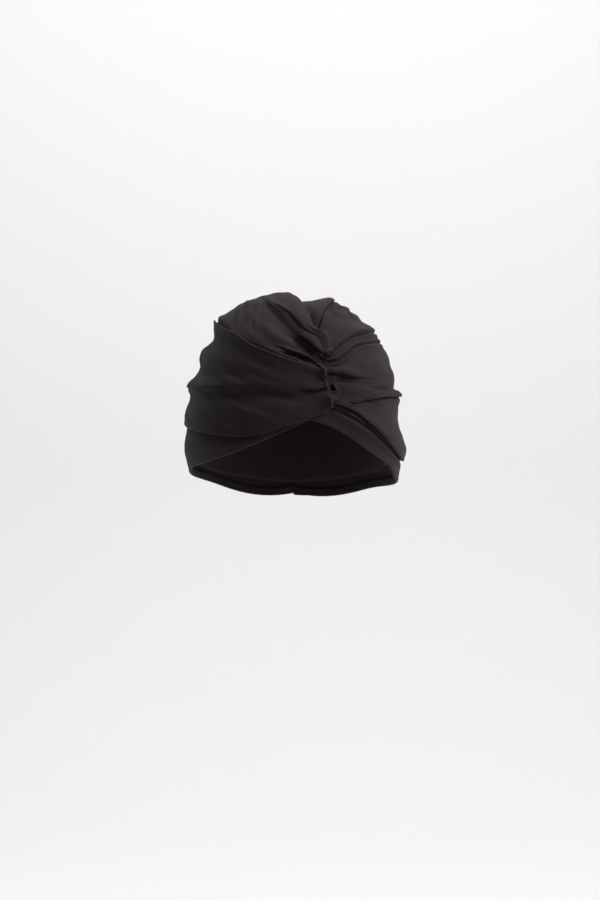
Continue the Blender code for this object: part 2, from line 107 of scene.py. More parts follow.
# The cross-section of each kind of fold, from its upper side to its lower side: distance across the fold line
# where the cloth lies flat, distance across where it is folded, and height, all as shares of the fold's size.
PROFILES = {
    "laps_down": [
        (2.6, 2.8, 0.50), (1.8, 1.6, 0.90), (1.0, 0.40, 1.0), (0.5, -0.35, 0.80), (0.2, -0.70, 0.45),
        (-0.1, -0.60, 0.05), (-0.4, -0.10, -0.50), (-0.7, 0.20, -1.05), (-1.0, -0.15, -1.35), (-1.4, -0.80, -1.15),
        (-1.9, -1.5, -0.60), (-2.5, -2.3, -0.15),
    ],
    "pinch": [
        (2.8, 2.5, 0.25), (2.0, 1.75, 0.60), (1.4, 1.20, 0.60), (1.0, 0.85, 0.15), (0.7, 0.60, -0.8),
        (0.35, 0.35, -1.5), (0.0, 0.0, -1.8), (-0.35, -0.35, -1.5), (-0.7, -0.60, -0.8), (-1.0, -0.85, 0.15),
        (-1.4, -1.20, 0.60), (-2.0, -1.75, 0.60), (-2.8, -2.5, 0.25),
    ],
}

# Each panel has a row for each of its fold lines, from its upper edge to its lower edge: a name, the kind of fold
# and its size in mm, and a run of points from the gather to the centre back. A point is degrees round from the
# front (right is positive), degrees above the head's centre, lift off the cap in mm and, for a fold, how strong
# it is there.
LEFT_BAND = [
    ("upper_edge", None, 0, [
        (9, 3.0, 1.4), (-6, -1.0, 1.4), (-24, -4.0, 1.4), (-85, 2.0, 1.4), (-135, 3.0, 1.4), (-180, 2.0, 1.4)]),
    ("under_drape", None, 0, [
        (9, 1.0, 1.5), (-6, -4.2, 1.8), (-24, -8.5, 2.4), (-85, -4.0, 4.5), (-135, -4.0, 3.0), (-180, -5.0, 2.0)]),
    ("fullest", None, 0, [
        (8, 0.0, 2.0), (-6, -5.5, 2.6), (-24, -11.2, 3.8), (-53, -14.0, 5.2), (-85, -16.0, 7.2),
        (-135, -16.0, 4.6), (-180, -17.0, 2.4)]),
    ("hem", None, 0, [
        (7, -1.0, 2.6), (-6, -6.6, 2.8), (-24, -13.8, 2.8), (-53, -21.4, 2.8), (-85, -26.4, 3.8),
        (-135, -30.0, 2.8), (-180, -31.0, 2.8)]),
]
RIGHT_BAND = [
    ("upper_edge", None, 0, [
        (4, 7.6, 1.4), (18, 7.0, 1.4), (31, 3.4, 1.4), (54, -5.0, 1.4), (85, -13.0, 1.4), (135, -15.0, 1.4),
        (180, -15.0, 1.4)]),
    ("strip", None, 0, [
        (4, 6.5, 2.0), (18, 4.9, 5.0), (28, -0.1, 5.2), (38, -5.0, 5.2), (54, -13.0, 5.2), (85, -21.0, 5.0),
        (135, -22.0, 4.0), (180, -22.0, 2.5)]),
    ("crease", "laps_down", 1.2, [
        (4, 4.6, 1.6, 0.2), (16, 4.0, 2.2, 1.0), (20, 2.6, 2.4, 1.0), (24, 1.1, 2.6, 1.0), (29, -1.0, 2.8, 0.8),
        (35, -4.2, 3.0, 0.5), (54, -13.9, 3.6, 0.15), (85, -22.8, 3.6, 0.1), (135, -24.0, 3.0, 0.1),
        (180, -24.0, 2.0, 0.1)]),
    ("ridge", None, 0, [
        (5, 3.4, 1.6), (16, 2.4, 3.6), (26, -2.2, 6.0), (38, -7.8, 6.6), (55, -16.2, 6.8), (85, -24.2, 5.0),
        (135, -26.0, 4.0), (180, -26.0, 3.0)]),
    ("face", None, 0, [
        (5, 1.8, 1.6), (16, -0.6, 2.4), (26, -5.4, 3.2), (38, -11.4, 3.4), (55, -19.2, 3.8), (85, -27.0, 4.0),
        (135, -28.5, 3.8), (180, -28.5, 3.0)]),
    ("hem", None, 0, [
        (5, -0.4, 2.6), (16, -3.6, 2.6), (26, -8.4, 2.6), (38, -14.9, 2.6), (57, -22.2, 2.6), (72, -29.5, 3.0),
        (90, -31.0, 3.3), (135, -31.5, 3.0), (180, -31.0, 3.0)]),
]
CROWN_RIGHT = [
    ("left_edge", None, 0, [
        (10, 40.0, 1.4), (7, 52.0, 1.4), (6, 66.0, 1.4), (20, 83.0, 1.4), (172, 83.0, 1.4), (180, 78.0, 1.4)]),
    ("back_cloth", None, 0, [
        (11, 40.5, 1.4), (11, 54.0, 2.6), (14, 66.0, 3.0), (30, 73.0, 3.4), (60, 78.5, 4.0), (150, 80.0, 2.0),
        (180, 73.0, 1.5)]),
    ("tuck_crest", None, 0, [
        (12.4, 41.0, 2.0), (13.4, 46.0, 4.2), (14.4, 51.0, 5.8), (16, 55.6, 6.6), (21, 60.4, 7.2), (33, 66.0, 8.0),
        (55, 71.0, 8.8), (78, 73.6, 9.2), (140, 75.0, 6.0), (180, 69.0, 2.0)]),
    ("tuck_edge", "laps_down", 1.7, [
        (14.4, 41.0, 2.2, 0.5), (16.6, 46.0, 4.8, 1.0), (19.4, 50.7, 6.0, 1.0), (23.2, 55.2, 6.8, 1.0),
        (29.8, 59.8, 7.2, 1.0), (41, 64.2, 7.8, 1.0), (56, 68.0, 8.4, 1.0), (78, 71.0, 8.6, 0.5),
        (140, 71.5, 6.0, 0.0), (180, 66.0, 2.0, 0.0)]),
    ("dent_floor", None, 0, [
        (16.2, 40.4, 1.3), (18.6, 45.6, 1.3), (21.8, 49.8, 1.3), (26.4, 53.8, 1.3), (33.5, 57.8, 1.5),
        (46, 61.8, 1.8), (60, 64.8, 2.4), (76, 67.0, 4.2), (94, 68.2, 8.0), (140, 68.5, 5.6), (180, 63.0, 1.8)]),
    ("dent_face", None, 0, [
        (17.8, 40.0, 1.4), (21.4, 45.6, 1.5), (27, 50.4, 2.0), (35, 54.6, 2.6), (45, 58.0, 3.0), (57, 60.4, 3.6),
        (71, 62.2, 5.4), (92, 64.2, 8.4), (135, 64.0, 6.0), (180, 59.0, 1.8)]),
    ("lobe", None, 0, [
        (18, 39.0, 1.4), (25, 45.6, 2.2), (34, 51.2, 2.8), (48, 57.0, 3.4), (62, 60.2, 5.0), (90, 61.6, 6.6),
        (135, 60.0, 4.6), (180, 55.0, 1.6)]),
    ("right_edge", None, 0, [
        (19, 37.0, 1.4), (28, 44.0, 1.4), (43, 50.0, 1.4), (62, 53.0, 1.4), (90, 54.0, 1.4), (135, 52.0, 1.4),
        (180, 48.0, 1.4)]),
]
RIGHT_DRAPE = [
    ("upper_edge", None, 0, [
        (13, 39.0, 1.6), (16, 42.4, 4.8), (18.4, 46.0, 6.2), (21.6, 50.0, 6.6), (26, 53.6, 6.6), (32, 55.4, 6.4),
        (43, 56.8, 6.0), (62, 58.2, 5.2), (90, 57.5, 4.4), (135, 54.0, 3.4), (180, 50.0, 3.3)]),
    ("upper_face", None, 0, [
        (13, 35.6, 1.6), (17, 38.6, 4.0), (22, 41.6, 4.8), (30, 46.6, 5.2), (43, 51.0, 5.0), (62, 53.2, 4.0),
        (90, 53.6, 3.8), (135, 50.0, 2.2), (180, 46.0, 1.8)]),
    ("first_fold", None, 0, [
        (13, 31.6, 1.6), (17, 33.0, 4.0), (22, 35.6, 5.2), (32, 41.6, 6.0), (45, 46.0, 6.6), (63, 48.8, 7.6),
        (80, 49.4, 8.4), (95, 49.2, 7.6), (135, 46.5, 3.6), (180, 42.0, 2.0)]),
    ("first_crease", "pinch", 1.9, [
        (13, 27.8, 1.6, 0.3), (17, 28.0, 3.8, 0.9), (20, 29.0, 4.6, 1.0), (25, 32.9, 5.2, 1.0),
        (34, 37.8, 5.6, 1.0), (45, 41.6, 6.0, 1.0), (63, 44.9, 6.8, 1.0), (83, 46.2, 7.2, 1.0),
        (98, 46.0, 6.0, 0.6), (135, 43.4, 3.0, 0.3), (180, 39.0, 1.9, 0.2)]),
    ("second_crease", "pinch", 1.5, [
        (13, 24.4, 1.6, 0.3), (17, 24.6, 3.4, 0.8), (20, 25.0, 4.0, 1.0), (23, 26.2, 4.4, 1.0),
        (28, 29.2, 4.8, 1.0), (33, 32.5, 5.0, 1.0), (41, 35.5, 5.2, 1.0), (53, 37.8, 5.4, 1.0),
        (83, 40.6, 5.6, 1.0), (135, 37.5, 2.6, 0.3), (180, 32.5, 1.8, 0.2)]),
    ("side_face", None, 0, [
        (13, 22.4, 1.5), (17, 22.2, 3.0), (24, 23.2, 4.0), (36, 27.0, 4.8), (55, 30.5, 5.4), (85, 32.5, 5.8),
        (135, 29.0, 3.5), (180, 25.0, 1.8)]),
    ("soft_ridge", "laps_down", 2.0, [
        (13, 19.6, 1.5, 0.0), (16.6, 19.6, 3.0, 0.5), (19, 19.6, 4.8, 1.0), (23, 19.4, 5.4, 1.0),
        (27, 18.7, 5.4, 1.0), (30.5, 18.3, 5.2, 0.7), (36, 18.3, 4.8, 0.25), (44, 18.8, 4.6, 0.1),
        (60, 20.0, 4.2, 0.0), (85, 21.5, 3.6, 0.0), (135, 19.0, 2.0, 0.0), (180, 17.0, 1.8, 0.0)]),
    ("hollow", None, 0, [
        (13, 16.8, 1.3), (17, 16.4, 1.2), (21, 16.0, 1.2), (25, 15.6, 1.4), (29, 15.4, 2.6), (34, 15.2, 3.8),
        (44, 15.2, 4.2), (60, 16.0, 3.4), (85, 17.0, 2.4), (135, 16.0, 1.7), (180, 14.0, 1.6)]),
    ("below_hollow", None, 0, [
        (13, 14.0, 1.3), (17.6, 13.6, 1.0), (18.8, 13.8, 2.4), (20.6, 14.0, 4.8), (25, 13.6, 4.8), (32, 13.2, 4.6),
        (44, 13.6, 4.4), (60, 14.4, 3.8), (85, 15.4, 3.0), (135, 14.2, 1.8), (180, 12.0, 1.6)]),
    ("small_ridge", None, 0, [
        (13, 10.6, 1.3), (17.4, 10.6, 1.0), (18.3, 10.7, 4.6), (19.5, 11.0, 5.8), (21.8, 11.2, 4.2),
        (27, 10.8, 4.4), (43, 12.2, 4.8), (60, 13.0, 4.6), (85, 13.8, 4.0), (135, 12.4, 2.0), (180, 10.2, 1.7)]),
    ("third_crease", "laps_down", 1.4, [
        (13, 7.6, 1.4, 0.0), (17.2, 7.8, 1.2, 0.0), (18.1, 7.6, 4.6, 0.0), (24, 6.8, 4.6, 0.1),
        (27.5, 6.4, 4.0, 0.8), (30.5, 7.0, 3.8, 1.0), (34, 7.8, 3.8, 1.0), (38, 8.4, 3.8, 1.0),
        (46, 9.7, 4.2, 0.9), (56, 10.8, 4.6, 0.9), (70, 11.5, 5.4, 1.0), (85, 12.0, 5.8, 1.0),
        (100, 11.8, 5.0, 0.7), (135, 10.0, 2.4, 0.3), (180, 8.0, 1.7, 0.2)]),
    ("lower_face", None, 0, [
        (13, 6.6, 1.6), (17, 6.8, 3.4), (20, 6.4, 5.0), (26, 4.9, 5.2), (34, 3.8, 4.6), (43, 2.8, 4.0),
        (60, 1.4, 2.8), (85, -0.6, 2.0), (135, -2.0, 2.5), (180, -4.0, 1.8)]),
    ("lower_ridge", None, 0, [
        (13, 6.2, 2.4), (17, 6.4, 4.6), (20, 6.1, 5.6), (26, 4.5, 6.0), (38, -0.8, 6.4), (54, -7.6, 7.2),
        (77, -13.6, 8.8), (95, -14.8, 8.8), (135, -14.0, 5.0), (180, -14.0, 3.3)]),
    ("lower_edge", None, 0, [
        (13, 5.6, 3.2), (17, 5.9, 5.0), (20, 5.4, 5.6), (24, 4.3, 5.8), (29, 2.2, 6.0), (34, -0.9, 6.2),
        (40, -4.3, 6.4), (48, -8.9, 6.8), (55, -13.0, 7.2), (67, -18.0, 7.8), (80, -20.6, 7.8), (95, -20.6, 7.4),
        (135, -18.6, 5.0), (180, -18.6, 3.3)]),
]
CROWN_LEFT = [
    ("right_edge", None, 0, [
        (17.6, 27.4, 6.6), (18.4, 30.4, 7.4), (18.8, 34.5, 8.0), (18.5, 37.6, 8.5), (16.8, 39.4, 8.7),
        (13.6, 39.7, 8.8), (11.4, 41.4, 8.8), (10.2, 46.0, 8.6), (9.8, 52.0, 8.2), (8.5, 58.0, 7.8),
        (6, 68.0, 7.5), (2, 78.0, 7.0), (180, 86.0, 5.0), (180, 76.0, 3.3)]),
    ("lobe_top", None, 0, [
        (17.1, 27.2, 7.0), (17.6, 30.4, 7.9), (17.8, 34.2, 8.5), (17.2, 36.7, 8.9), (15.2, 38.2, 9.2),
        (12, 38.6, 9.4), (8.8, 41.0, 9.6), (7.4, 46.0, 9.5), (6.4, 52.0, 9.2), (3, 61.0, 9.2), (-4, 70.0, 9.3),
        (-20, 82.0, 9.2), (-172, 80.0, 7.0), (-180, 72.0, 2.5)]),
    ("crest", "laps_down", 1.4, [
        (16.4, 27.0, 6.8, 0.0), (16.2, 30.4, 7.8, 0.0), (15.8, 33.4, 8.4, 0.0), (14.6, 35.4, 8.8, 0.0),
        (12.4, 36.8, 9.1, 0.2), (9.4, 37.8, 9.4, 0.4), (5.6, 40.4, 9.6, 0.5), (2, 44.9, 9.8, 0.5),
        (-2, 50.0, 10.0, 0.5), (-10, 55.6, 10.0, 0.3), (-19, 60.4, 9.8, 0.0), (-34, 69.0, 9.6, 0.0),
        (-60, 76.0, 9.4, 0.0), (-130, 81.0, 8.5, 0.0), (-172, 74.0, 4.5, 0.0), (-180, 68.0, 2.0, 0.0)]),
    ("ear_edge", "laps_down", 2.0, [
        (15.9, 26.2, 5.0, 0.8), (14.4, 27.9, 5.6, 1.0), (12.4, 29.6, 6.0, 1.0), (10.2, 31.5, 6.3, 1.0),
        (8, 33.7, 6.6, 1.0), (5.6, 35.8, 6.4, 0.8), (2.6, 37.6, 5.2, 0.2), (-1.5, 40.8, 4.2, 0.0),
        (-6, 45.4, 3.8, 0.0), (-12, 50.8, 4.6, 0.0), (-20, 56.4, 7.0, 0.0), (-36, 64.4, 9.4, 0.0),
        (-62, 70.6, 9.8, 0.0), (-110, 74.5, 9.0, 0.0), (-160, 69.0, 4.5, 0.0), (-180, 63.0, 2.0, 0.0)]),
    ("scoop", None, 0, [
        (15.7, 23.8, 1.4), (13.2, 25.8, 1.2), (9.8, 28.6, 1.2), (6.4, 31.2, 1.2), (3, 33.8, 1.2),
        (0, 35.8, 3.0), (-5.5, 39.4, 4.4), (-11, 44.6, 5.0), (-18, 50.4, 6.8), (-32, 58.4, 8.8),
        (-56, 65.2, 10.4), (-100, 68.0, 10.0), (-150, 63.0, 4.5), (-180, 58.0, 2.0)]),
    ("pocket", None, 0, [
        (15.5, 21.2, 1.4), (13, 23.0, 1.2), (9.4, 26.2, 1.2), (5.6, 28.8, 1.2), (3, 30.2, 1.2), (0.6, 31.6, 3.0),
        (-2.5, 33.4, 6.4), (-9, 37.0, 7.6), (-17, 41.8, 7.9), (-27, 47.6, 8.3), (-39, 53.0, 9.2),
        (-60, 60.4, 10.8), (-100, 62.0, 9.4), (-145, 58.0, 4.5), (-180, 54.0, 2.0)]),
    ("lip", "laps_down", 1.2, [
        (14.6, 18.8, 3.0, 0.4), (13, 20.3, 5.4, 0.6), (10.8, 22.6, 6.2, 0.7), (7.8, 25.0, 6.6, 0.9),
        (4.4, 26.7, 6.9, 1.0), (1.4, 27.9, 7.2, 1.0), (-1.5, 28.9, 7.2, 1.0), (-4.5, 29.9, 7.2, 0.6),
        (-9, 31.6, 7.4, 0.1), (-15, 34.4, 7.6, 0.0), (-24, 38.6, 7.8, 0.0), (-36, 44.0, 8.2, 0.0),
        (-52, 49.6, 9.4, 0.0), (-72, 54.6, 11.2, 0.0), (-88, 56.4, 11.0, 0.0), (-130, 52.0, 5.4, 0.0),
        (-180, 48.0, 1.8, 0.0)]),
    ("slot", None, 0, [
        (13.8, 18.2, 2.4), (12.4, 19.4, 4.6), (10.2, 21.2, 5.2), (7, 23.6, 4.4), (3.6, 25.2, 2.0),
        (0, 26.4, 1.6), (-3.4, 27.5, 3.0), (-6.5, 28.4, 6.2), (-9, 29.2, 7.0), (-15, 31.8, 7.2),
        (-24, 36.0, 7.4), (-36, 41.2, 7.8), (-52, 46.8, 8.8), (-72, 51.8, 11.6), (-88, 53.6, 12.0),
        (-130, 49.5, 3.6), (-180, 46.0, 1.5)]),
    ("below_slot", None, 0, [
        (13.2, 17.6, 2.4), (10, 20.0, 5.8), (6.2, 22.4, 6.6), (2.4, 24.2, 6.8), (-2, 25.8, 6.8),
        (-6.4, 27.2, 6.9), (-10, 28.4, 7.0), (-15, 30.6, 7.0), (-24, 34.8, 7.2), (-36, 40.2, 7.4),
        (-52, 45.4, 8.0), (-72, 50.2, 10.4), (-88, 52.0, 11.0), (-130, 47.4, 2.6), (-180, 44.0, 1.4)]),
    ("front_edge", None, 0, [
        (12.6, 16.8, 1.6), (8, 18.0, 3.2), (4, 19.6, 4.0), (-3, 21.6, 4.0), (-10, 24.2, 3.8), (-20, 28.4, 3.6),
        (-34, 35.2, 3.4), (-52, 40.8, 3.0), (-85, 47.0, 1.8), (-130, 45.0, 1.4), (-180, 42.0, 1.4)]),
]
LEFT_DRAPE = [
    ("upper_edge", None, 0, [
        (13.4, 18.6, 7.2), (9, 20.0, 7.8), (3, 21.7, 8.0), (-4, 23.9, 8.0), (-11, 26.8, 8.0), (-20, 30.7, 8.2),
        (-26, 34.1, 8.6), (-35, 38.6, 9.0), (-47, 42.7, 9.2), (-66, 47.6, 9.4), (-82, 50.2, 9.2),
        (-110, 50.0, 7.6), (-180, 46.0, 4.0)]),
    ("below_edge", None, 0, [
        (13.8, 17.2, 7.2), (2, 19.4, 6.6), (-11, 24.0, 6.0), (-26, 30.4, 5.8), (-47, 38.8, 5.2), (-66, 43.2, 3.6),
        (-84, 45.2, 2.4), (-110, 45.0, 3.2), (-135, 44.0, 3.4), (-180, 42.0, 3.4)]),
    ("side_fold", None, 0, [
        (14.0, 16.2, 7.2), (-6, 18.8, 6.2), (-26, 24.0, 5.4), (-50, 30.0, 5.0), (-68, 34.2, 5.4), (-84, 35.8, 6.8),
        (-110, 36.0, 6.0), (-180, 32.0, 3.0)]),
    ("side_hollow", None, 0, [
        (13.9, 15.0, 7.0), (-6, 16.4, 5.8), (-26, 18.5, 4.8), (-50, 22.5, 3.6), (-70, 25.6, 2.4), (-84, 26.4, 2.0),
        (-110, 27.0, 2.8), (-180, 24.0, 2.0)]),
    ("middle_ridge", "laps_down", 1.4, [
        (15.1, 12.6, 7.6, 0.9), (12, 11.9, 7.3, 1.0), (9, 11.4, 6.8, 1.0), (5.5, 11.4, 6.2, 0.6),
        (1, 11.8, 5.8, 0.1), (-6, 12.8, 5.6, 0.0), (-20, 14.0, 5.6, 0.0), (-37, 14.6, 5.6, 0.0),
        (-60, 15.4, 5.8, 0.0), (-76, 16.2, 7.2, 0.3), (-88, 16.4, 8.0, 0.4), (-110, 16.4, 6.4, 0.2),
        (-180, 14.0, 2.2, 0.0)]),
    ("valley", None, 0, [
        (14.7, 9.6, 6.0), (3, 8.6, 3.6), (-10, 8.6, 2.0), (-22, 9.4, 1.8), (-42, 10.8, 2.2), (-66, 12.0, 3.2),
        (-85, 12.4, 3.8), (-135, 12.0, 2.8), (-180, 10.0, 1.8)]),
    ("lower_fold", None, 0, [
        (15.5, 6.8, 7.6), (3, 4.0, 7.0), (-10, 2.0, 6.6), (-24, 1.0, 6.6), (-45, 1.6, 6.4), (-85, 0.5, 6.7),
        (-135, 1.0, 5.0), (-180, 0.0, 3.0)]),
    ("lower_edge", None, 0, [
        (15.4, 4.0, 8.0), (13, 2.6, 7.8), (6, -0.7, 7.2), (3, -1.7, 7.0), (-6, -4.3, 6.6), (-13, -6.5, 6.0),
        (-24, -8.0, 5.2), (-36, -7.7, 4.8), (-48, -6.8, 4.8), (-70, -4.6, 5.6), (-85, -3.0, 6.0),
        (-135, -2.0, 5.0), (-180, -3.0, 4.0)]),
]

# Soft creases pressed into a panel: the panel, half width in mm, height in mm (below 0 is a groove), and the run
# of points in degrees round and up. A crease fades out at both ends.
CREASES = [
    ("crown_left_fold", 1.9, -2.3, [(-73, 70.0), (-49, 65.0), (-32, 54.2), (-28, 46.8), (-21, 38.0)]),
    ("crown_left_fold", 2.3, 1.6, [(-66, 66.0), (-44, 60.0), (-36, 52.0), (-33, 46.0)]),
    ("crown_left_fold", 2.0, -1.7, [(-66, 60.5), (-48, 52.5), (-42, 46.0), (-36, 40.5)]),
    ("crown_left_fold", 2.6, 0.9, [(-30, 64.0), (-22, 54.0), (-19, 45.0), (-15, 39.0)]),
    ("right_drape", 1.7, -1.3, [(30, 9.2), (35, 7.7), (42, 6.4), (50, 4.2)]),
    ("right_drape", 2.6, -0.8, [(28, 15.4), (38, 14.2), (52, 13.8), (66, 14.4)]),
    ("right_drape", 1.1, -1.4, [(20.2, 8.0), (21.6, 10.6), (24, 12.2), (28, 12.8)]),
    ("right_drape", 3.0, 0.7, [(30, 24.0), (45, 26.0), (62, 28.0)]),
    ("left_drape", 4.0, -0.7, [(-70, 40.0), (-52, 36.0), (-38, 34.0), (-20, 27.0)]),
    ("left_drape", 4.5, -0.6, [(-80, 22.0), (-52, 20.5), (-30, 19.0), (-8, 17.0)]),
    ("left_drape", 2.6, -0.9, [(13, 8.8), (2, 8.8), (-10, 10.4), (-26, 12.0), (-40, 12.6)]),
    ("left_drape", 4.0, 0.6, [(-60, 6.0), (-40, 5.4), (-20, 4.4), (0, 4.8)]),
    ("left_drape", 1.6, -0.7, [(14.2, 14.8), (10, 15.2), (5, 15.6)]),
]

# Name, rows, radius of the folded upper and lower edges in mm (0 is a cut edge), side of the seam, whether the
# end turns in at the gather, height of the ripples in mm, and how the cloth is held.
PANELS = [
    ("left_band", LEFT_BAND, 0, 1.15, -1, False, 0.15, "stretched"),
    ("right_band", RIGHT_BAND, 0, 1.15, 1, False, 0.15, "stretched"),
    ("crown_right_fold", CROWN_RIGHT, 0, 0, 1, False, 0.25, "folded"),
    ("right_drape", RIGHT_DRAPE, 1.2, 1.2, 1, True, 0.30, "gathered"),
    ("crown_left_fold", CROWN_LEFT, 1.3, 0, -1, True, 0.30, "gathered"),
    ("left_drape", LEFT_DRAPE, 1.3, 1.1, -1, True, 0.28, "gathered"),
]

# The jersey: the size and slope of its stitches, how much each texture adds to the tone, the darkest and lightest
# tones with their places on the ramp, the lint, and how the cloth shines.
WALE = 0.75 * MM
COURSE = 0.60 * MM
STITCH_LEAN = 1.4
STITCH_BASE = 1.4
ARM_BASE = 0.5
KNIT_DEPTH = 0.10 * MM
DOWN_HEIGHT = 1.2
WEAR_DEPTH = 0.5 * MM
WEAR_SCALE = 150.0
PATCH_SCALE = 28.0
DOWN_SCALE = 900.0
PATCH_TONE = 0.55
DOWN_TONE = 0.30
STITCH_TONE = 0.06
TONES = [(0.25, (0.0112, 0.0070, 0.0082, 1)), (0.8, (0.0230, 0.0152, 0.0176, 1))]
LINT_COLOUR = (0.11, 0.105, 0.10, 1)
LINT_SCALE = 62.0
LINT_SIZE = 0.035
LINT_RARITY = 0.90
PATCH_ROUGHNESS = 0.16
LEAST_ROUGHNESS = 0.74
SHINE = {
    "Specular IOR Level": 0.18,
    "Sheen Weight": 0.07,
    "Sheen Roughness": 0.45,
    "Sheen Tint": (0.86, 0.82, 0.90, 1),
}

# The sweep behind and under the part, in metres, and its paper.
FLOOR_HEIGHT = -0.60
SWEEP_FRONT = -9.0
SWEEP_BACK = 1.6
SWEEP_BEND = 0.6
SWEEP_TOP = 4.0
SWEEP_SIDE = 5.0
PAPER = {"Base Color": (0.86, 0.855, 0.85, 1), "Roughness": 0.95, "Specular IOR Level": 0.1}

# The light from all round: where it is brightest, its level from one share of the way there to another, the
# level that the camera sees, and its colour.
BRIGHT_SIDE = (0.50, 0.22, 0.84)
WORLD_LEVELS = (-0.25, 1.0, 0.0, 0.72)
SEEN_LEVEL = 0.92
WORLD_COLOUR = (1.0, 0.985, 0.985, 1)

# Each lamp: its name, its place, where it points, its width and height, and its power in watts.
LAMPS = [
    ("key", (1.0, -0.7, 1.25), (0, 0, 0.06), (0.7, 0.7), 20),
    ("backdrop_light", (0.0, 0.5, 1.8), (0, 2.2, 0.2), (3.0, 0.8), 38),
]

CAMERA_PLACE = (0.00486, -1.72, 0.0194)
LENS = 85
SENSOR = 36


def direction(round_degrees, up_degrees):
    """The unit vector from the head's centre, this far round from the front and this far up."""
    a = np.radians(round_degrees)
    e = np.radians(up_degrees)
    return np.stack([np.sin(a) * np.cos(e), -np.cos(a) * np.cos(e), np.sin(e)], axis=-1)


def form_reach(ways):
    """How far the cap's outer surface is from the head's centre along each of these unit vectors."""
    total = (np.abs(ways[..., 0]) / HALF_BREADTH) ** ROUNDNESS
    total = total + (np.abs(ways[..., 1]) / HALF_LENGTH) ** ROUNDNESS
    total = total + (np.maximum(ways[..., 2], 0.0) / CROWN_RISE) ** ROUNDNESS
    return total ** (-1.0 / ROUNDNESS)


def unit(vectors):
    return vectors / np.maximum(np.linalg.norm(vectors, axis=-1, keepdims=True), 1e-12)


def smooth_between(points, steps):
    """A centripetal Catmull-Rom curve through the rows of points, with its own number of steps for each span."""
    points = np.asarray(points, float)
    padded = np.concatenate([[2 * points[0] - points[1]], points, [2 * points[-1] - points[-2]]])
    spans = np.sqrt(np.linalg.norm(np.diff(padded, axis=0), axis=-1)) + 1e-7
    found = []
    for i, count in enumerate(steps):
        share = np.arange(count) / count
        if i == len(steps) - 1:
            share = np.arange(count + 1) / count
        share = share.reshape((-1,) + (1,) * spans[0].ndim)
        p0, p1, p2, p3 = padded[i : i + 4]
        t0 = -spans[i]
        t2 = spans[i + 1]
        t3 = spans[i + 1] + spans[i + 2]
        t = share * t2

        def mix(a, b, low, high):
            return ((high - t) / (high - low))[..., None] * a + ((t - low) / (high - low))[..., None] * b

        a1 = mix(p0, p1, t0, 0.0)
        a2 = mix(p1, p2, 0.0, t2)
        a3 = mix(p2, p3, t2, t3)
        b1 = mix(a1, a2, t0, t2)
        b2 = mix(a2, a3, 0.0, t3)
        found.append(mix(b1, b2, 0.0, t2))
    return np.concatenate(found)


def column_shares(length, bends):
    """Where the columns lie along a row of this length, as shares: closer together where the end turns in."""
    if not bends:
        count = round(length / CELL)
        return np.arange(count + 1) / count
    first = END_ZONE * (1 - np.cos(np.linspace(0, np.pi / 2, END_COLUMNS + 1))) ** END_CROWDING
    count = round((length - END_ZONE) / CELL)
    rest = END_ZONE + (length - END_ZONE) * np.arange(count + 1) / count
    return np.concatenate([first[:-1], rest]) / length


def fold_line(stations, shares):
    """Unit vectors, lifts in metres and strengths along one fold line, at these shares of its length."""
    table = np.array([tuple(s) + (0.0,) * (4 - len(s)) for s in stations], float)
    marks = np.column_stack([direction(table[:, 0], table[:, 1]), table[:, 2:]])
    curve = smooth_between(marks, [LINE_STEPS] * (len(marks) - 1))
    ways = unit(curve[:, :3])
    run = np.concatenate([[0.0], np.cumsum(np.linalg.norm(np.diff(ways, axis=0), axis=1))])
    traced = np.column_stack([ways, curve[:, 3:]])
    values = np.column_stack([np.interp(shares * run[-1], run, column) for column in traced.T])
    return unit(values[:, :3]), values[:, 3] * MM, np.clip(values[:, 4], 0, 1)


def surface_rows(rows, shares):
    """Each row's points, with the folds' cross-sections worked in between them."""
    lines = [fold_line(stations, shares) for _, _, _, stations in rows]
    points = []
    for i, (_, kind, size, _) in enumerate(rows):
        ways, lift, strength = lines[i]
        if kind is None:
            points.append(CENTRE + ways * (form_reach(ways) + lift)[:, None])
            continue
        near = {-1: lines[i - 1], 1: lines[i + 1]}
        up = near[-1][0] - near[1][0]
        up = unit(up - ways * np.sum(up * ways, axis=-1, keepdims=True))
        widths = {}
        slopes = {}
        for side, (other, other_lift, _) in near.items():
            room = ROOM_BY_FOLD if rows[i + side][1] else ROOM_BY_FACE
            apart = np.linalg.norm(other - ways, axis=-1) * form_reach(ways)
            widths[side] = np.minimum(1.0, room * apart / (PROFILE_REACH * size * MM))
            slopes[side] = (other_lift - lift) / np.maximum(apart, 1 * MM)
        tall = np.sqrt(widths[-1] * widths[1]) * strength
        for flat, folded, height in PROFILES[kind]:
            across = (flat * (1 - strength) + folded * strength) * size * MM
            side = -1 if flat > 0 else 1
            across = across * np.where(across > 0, widths[-1], widths[1])
            moved = unit(ways * form_reach(ways)[:, None] + up * across[:, None])
            core = np.clip((CORE - abs(flat)) / CORE_FADE, 0, 1)
            slant = slopes[side] * np.abs(across) * (1 - strength * core)
            out = form_reach(moved) + lift + slant + height * tall * size * MM
            points.append(CENTRE + moved * out[:, None])
    return np.stack(points)


